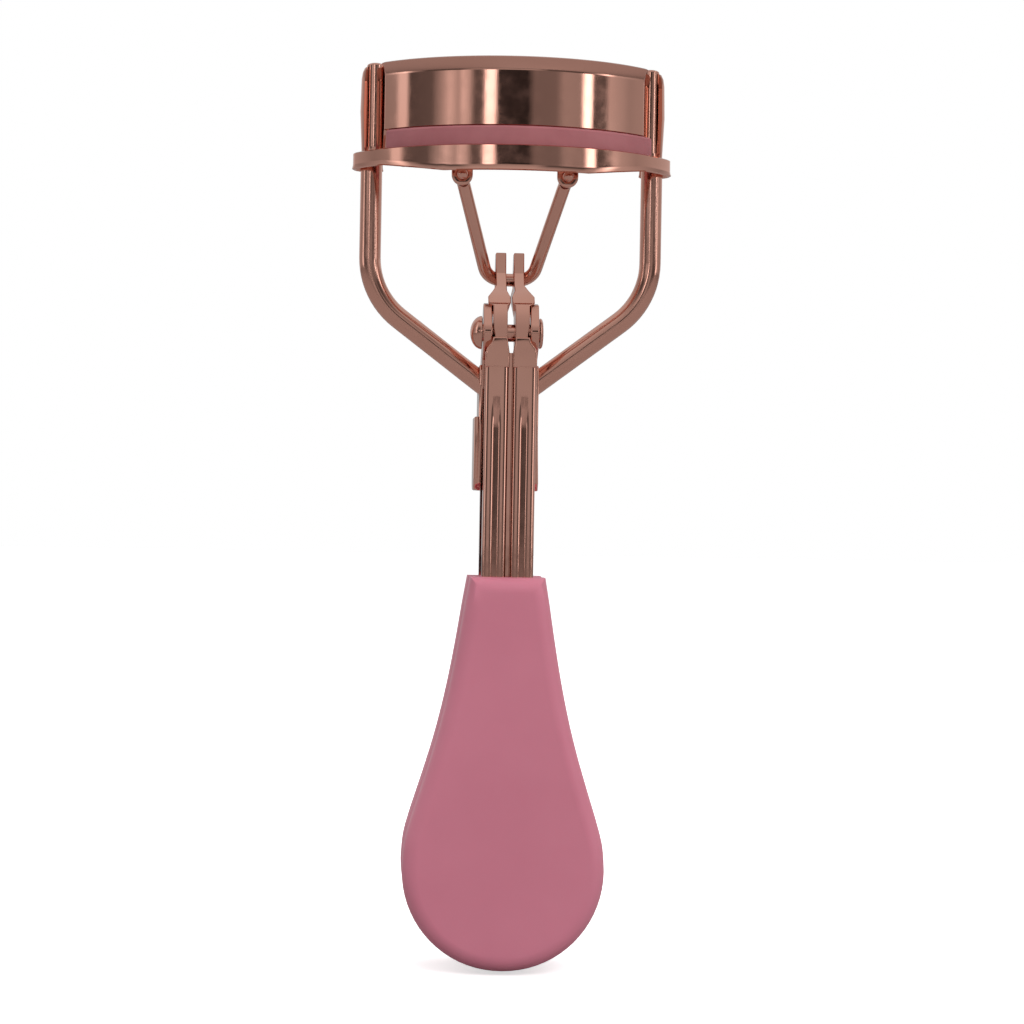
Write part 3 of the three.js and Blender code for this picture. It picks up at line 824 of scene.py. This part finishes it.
# ---- Rear shank ------------------------------------------------------------------------------------
# The fixed handle's shank: the same fluted stamping turned to face the back, gripped by the bracket
# behind the wires and running down into the rear handle.
REAR_ROOT, REAR_CREST, REAR_TOP = 1.85, 4.0, 65.6
rear_piece = fluted_shank(REAR_ROOT, REAR_CREST, SHANK_END, REAR_TOP)
thicken(rear_piece, SHANK_SHEET, 0.12)
close_up(rear_piece, "fluted_tang")
set_down(rear_piece, "frame", "rear_shank", plate_of_sheet)

# ---- Handles ---------------------------------------------------------------------------------------
# Two teardrops of satin pink plastic, each moulded round the end of its shank. Their faces are flat and
# their edges well rounded, for the thumb and fingers.
HANDLE_TOP, HANDLE_HALF, FOOT_RISE = 44.7, 11.5, 11.4
HANDLE_EDGE = 1.8
FLANK = [(11.5, 11.4), (11.28, 14.2), (10.6, 16.9), (9.28, 21.1), (8.05, 25.2), (7.02, 29.3)]
FLANK += [(6.17, 33.4), (5.45, 37.5), (4.8, 41.6), (4.27, HANDLE_TOP)]


def through(points, steps):
    """A smooth line through the points, with that many steps between neighbours."""
    line = []
    for i in range(len(points) - 1):
        a, b = Vector(points[i]), Vector(points[i + 1])
        before = Vector(points[i - 1]) if i else a + (a - b) * 0.2 + Vector((0, -1.5))
        after = Vector(points[i + 2]) if i + 2 < len(points) else b + (b - a)
        for k in range(steps):
            t = k / steps
            bow = (2 * before - 5 * a + 4 * b - after) * t * t + (3 * a - before - 3 * b + after) * t**3
            line.append(tuple((2 * a + (b - before) * t + bow) / 2))
    return line + [points[-1]]


def teardrop():
    """Outline of a handle from the front: round at the foot, narrowing to a square top."""
    turns = [math.radians(a) for a in range(0, 90, 5)]
    foot = [(HANDLE_HALF * math.sin(t) ** 0.98, FOOT_RISE - FOOT_RISE * math.cos(t)) for t in turns]
    half = foot + through(FLANK[:-1], 4) + FLANK[-1:]
    return half + [(-x, z) for x, z in reversed(half[1:])]


def handle(front, back):
    """The moulded body between two depths, its shank's end sunk in the top."""
    middle = (front + back) / 2
    return flat_curve([teardrop()], (0, middle, 0), FROM_THE_FRONT, back - front, HANDLE_EDGE, steps=7)


def satin_plastic(name, colour, shade):
    """Satin moulded plastic: a slow drift of tone, a sheen that varies a little, and a fine grain."""
    material = bpy.data.materials.new(name)
    material.use_nodes = True
    nodes, links = material.node_tree.nodes, material.node_tree.links
    shader = nodes["Principled BSDF"]
    shader.inputs["Specular IOR Level"].default_value = 0.42
    shader.inputs["Subsurface Weight"].default_value = 0.08
    shader.inputs["Subsurface Radius"].default_value = (0.002, 0.0007, 0.001)
    where = nodes.new("ShaderNodeTexCoord")
    drift = noise(nodes, 70.0, 3.0)
    tone = ramp_of(nodes, [(0.34, shade), (0.66, colour)])
    cloud = noise(nodes, 420.0)
    sheen = nodes.new("ShaderNodeMapRange")
    sheen.inputs["To Min"].default_value = 0.36
    sheen.inputs["To Max"].default_value = 0.5
    grain = noise(nodes, 5200.0, 1.0)
    skin = relief(nodes, 0.3, 0.00002)
    for texture in (drift, cloud, grain):
        links.new(where.outputs["Object"], texture.inputs["Vector"])
    links.new(drift.outputs["Fac"], tone.inputs["Fac"])
    links.new(tone.outputs["Color"], shader.inputs["Base Color"])
    links.new(cloud.outputs["Fac"], sheen.inputs["Value"])
    links.new(sheen.outputs["Result"], shader.inputs["Roughness"])
    links.new(grain.outputs["Fac"], skin.inputs["Height"])
    links.new(skin.outputs["Normal"], shader.inputs["Normal"])
    return material


handle_pink = satin_plastic("satin_pink_plastic", (0.76, 0.255, 0.345), (0.72, 0.235, 0.32))
for body, node, front, back in (
    ("lever", "front_handle", -9.1, -2.1),
    ("frame", "rear_handle", -1.5, 5.8),
):
    grip = close_up(handle(front, back), "moulded_" + node, smooth=45)
    set_down(grip, body, node, handle_pink)

# ---- Studio ----------------------------------------------------------------------------------------
# A white table in a room whose walls have light and dark upright bands for the plating to mirror; the
# camera itself sees plain white. Soft lamps that leave no mirror image light the plastic. The camera
# looks level at the closed tool from a little to the left.
bpy.ops.object.select_all(action="DESELECT")
bpy.ops.mesh.primitive_plane_add(size=6, location=(0, 0, -0.0004))
table = bpy.context.object
table.name = "table"
paper = bpy.data.materials.new("white_paper")
paper.use_nodes = True
paper_nodes, paper_links = paper.node_tree.nodes, paper.node_tree.links
paper_shader = paper_nodes["Principled BSDF"]
paper_shader.inputs["Base Color"].default_value = (0.93, 0.93, 0.93, 1)
paper_shader.inputs["Roughness"].default_value = 0.9
paper_shader.inputs["Emission Color"].default_value = (1, 1, 1, 1)
paper_shader.inputs["Emission Strength"].default_value = 0.62
dim = paper_nodes.new("ShaderNodeBsdfDiffuse")
dim.inputs["Color"].default_value = (0.36, 0.35, 0.35, 1)
looked_at = paper_nodes.new("ShaderNodeLightPath")
blend = paper_nodes.new("ShaderNodeMixShader")
paper_links.new(looked_at.outputs["Is Camera Ray"], blend.inputs["Fac"])
paper_links.new(dim.outputs["BSDF"], blend.inputs[1])
paper_links.new(paper_shader.outputs["BSDF"], blend.inputs[2])
paper_links.new(blend.outputs["Shader"], paper_nodes["Material Output"].inputs["Surface"])
table.data.materials.append(paper)

room = bpy.data.worlds.new("white_room")
bpy.context.scene.world = room
room.use_nodes = True
nodes, links = room.node_tree.nodes, room.node_tree.links
nodes.clear()
where = nodes.new("ShaderNodeTexCoord")
about_face = nodes.new("ShaderNodeMapping")
about_face.inputs["Scale"].default_value = (1, -1, 1)
split = nodes.new("ShaderNodeSeparateXYZ")
turn = nodes.new("ShaderNodeMath")
turn.operation = "ARCTAN2"
share = nodes.new("ShaderNodeMapRange")
share.inputs["From Min"].default_value = -math.pi
share.inputs["From Max"].default_value = math.pi
# Light on the walls by direction, in degrees from the camera's side and positive to the right: first as
# it is above the tool, then lower down.
WALLS = [
    (-180, 0.40), (-150, 0.70), (-100, 0.30), (-86, 0.38), (-83, 0.9), (-77, 0.9), (-73, 0.10),
    (-56, 0.14), (-48, 0.50), (-43, 0.85), (-37, 0.5), (-34, 0.9), (-30, 0.7), (-26, 0.12),
    (-20, 0.14), (-18, 2.4), (-13, 2.4), (-10, 0.04), (10, 0.02), (14, 0.20), (29, 0.22), (34, 0.42),
    (47, 0.38), (50, 3.2), (54, 3.2), (56, 0.12), (65, 0.12), (69, 0.6), (88, 0.38), (150, 0.75),
    (180, 0.40),
]
LOW_WALLS = [
    (-180, 0.40), (-150, 0.65), (-120, 0.30), (-90, 0.45), (-78, 1.6), (-70, 0.40), (-60, 0.10),
    (-36, 0.10), (-28, 0.38), (-8, 0.44), (16, 0.42), (24, 0.12), (48, 0.08), (58, 0.45), (66, 2.4),
    (74, 0.60), (90, 0.45), (120, 0.30), (150, 0.70), (180, 0.40),
]
walls, low_walls = [
    ramp_of(nodes, [(0.5 + degrees / 360, (light, light, light)) for degrees, light in lights])
    for lights in (WALLS, LOW_WALLS)
]
rise = ramp_of(nodes, [(0.09, (0, 0, 0)), (0.13, (1, 1, 1)), (0.20, (1, 1, 1)), (0.27, (0, 0, 0))])
around = nodes.new("ShaderNodeMix")
around.data_type = "RGBA"
height = nodes.new("ShaderNodeMapRange")
height.interpolation_type = "SMOOTHSTEP"
height.inputs["From Min"].default_value = 0.35
height.inputs["From Max"].default_value = 0.8
overhead = nodes.new("ShaderNodeMix")
overhead.data_type = "RGBA"
overhead.inputs["B"].default_value = (0.62, 0.62, 0.62, 1)
seen = nodes.new("ShaderNodeLightPath")
glow = nodes.new("ShaderNodeBackground")
glow.inputs["Strength"].default_value = 1.0
white = nodes.new("ShaderNodeBackground")
white.inputs["Color"].default_value = (1, 1, 1, 1)
white.inputs["Strength"].default_value = 1.0
choose = nodes.new("ShaderNodeMixShader")
out = nodes.new("ShaderNodeOutputWorld")
links.new(where.outputs["Generated"], about_face.inputs["Vector"])
links.new(about_face.outputs["Vector"], split.inputs["Vector"])
links.new(split.outputs["X"], turn.inputs[0])
links.new(split.outputs["Y"], turn.inputs[1])
links.new(turn.outputs["Value"], share.inputs["Value"])
links.new(share.outputs["Result"], walls.inputs["Fac"])
links.new(share.outputs["Result"], low_walls.inputs["Fac"])
links.new(split.outputs["Z"], rise.inputs["Fac"])
links.new(rise.outputs["Color"], around.inputs["Factor"])
links.new(low_walls.outputs["Color"], around.inputs["A"])
links.new(walls.outputs["Color"], around.inputs["B"])
links.new(around.outputs["Result"], overhead.inputs["A"])
links.new(split.outputs["Z"], height.inputs["Value"])
links.new(height.outputs["Result"], overhead.inputs["Factor"])
links.new(overhead.outputs["Result"], glow.inputs["Color"])
links.new(seen.outputs["Is Camera Ray"], choose.inputs["Fac"])
links.new(glow.outputs["Background"], choose.inputs[1])
links.new(white.outputs["Background"], choose.inputs[2])
links.new(choose.outputs["Shader"], out.inputs["Surface"])


def lamp(name, at, aim, wide, tall, watts):
    """A soft rectangular lamp, turned towards a point and unseen in mirrors."""
    light = bpy.data.lights.new(name, "AREA")
    light.shape = "RECTANGLE"
    light.size, light.size_y = wide, tall
    light.energy = watts
    stand = bpy.data.objects.new(name, light)
    bpy.context.scene.collection.objects.link(stand)
    stand.location = at
    stand.visible_glossy = False
    stand.rotation_euler = (Vector(aim) - Vector(at)).to_track_quat("-Z", "Y").to_euler()


HEART = Vector((0, 0, 0.055))
lamp("front_fill", (0.35, -1.0, 0.85), HEART, 0.7, 0.5, 5.8)
lamp("overhead", (0, 0.05, 1.1), HEART, 0.5, 0.5, 2.8)
lamp("back_left", (-0.6, 0.8, 0.5), HEART, 0.25, 0.6, 1.6)
lamp("back_right", (0.6, 0.8, 0.5), HEART, 0.25, 0.6, 1.6)

CAMERA_AWAY, CAMERA_TURN, CAMERA_ROLL = 0.320, math.radians(-3), math.radians(1.0)
LOOK_AT = Vector((0.0007, WIRE_PLANE, 0.05215))
lens = bpy.data.cameras.new("camera")
lens.lens = 96.8
lens.clip_start = 0.01
lens.clip_end = 20
camera = bpy.data.objects.new("camera", lens)
bpy.context.scene.collection.objects.link(camera)
camera.location = LOOK_AT + CAMERA_AWAY * Vector((math.sin(CAMERA_TURN), -math.cos(CAMERA_TURN), 0))
level = (LOOK_AT - camera.location).to_track_quat("-Z", "Y").to_matrix()
camera.rotation_euler = (level @ Matrix.Rotation(CAMERA_ROLL, 3, "Z")).to_euler()
bpy.context.scene.camera = camera
bpy.context.scene.view_settings.view_transform = "Standard"
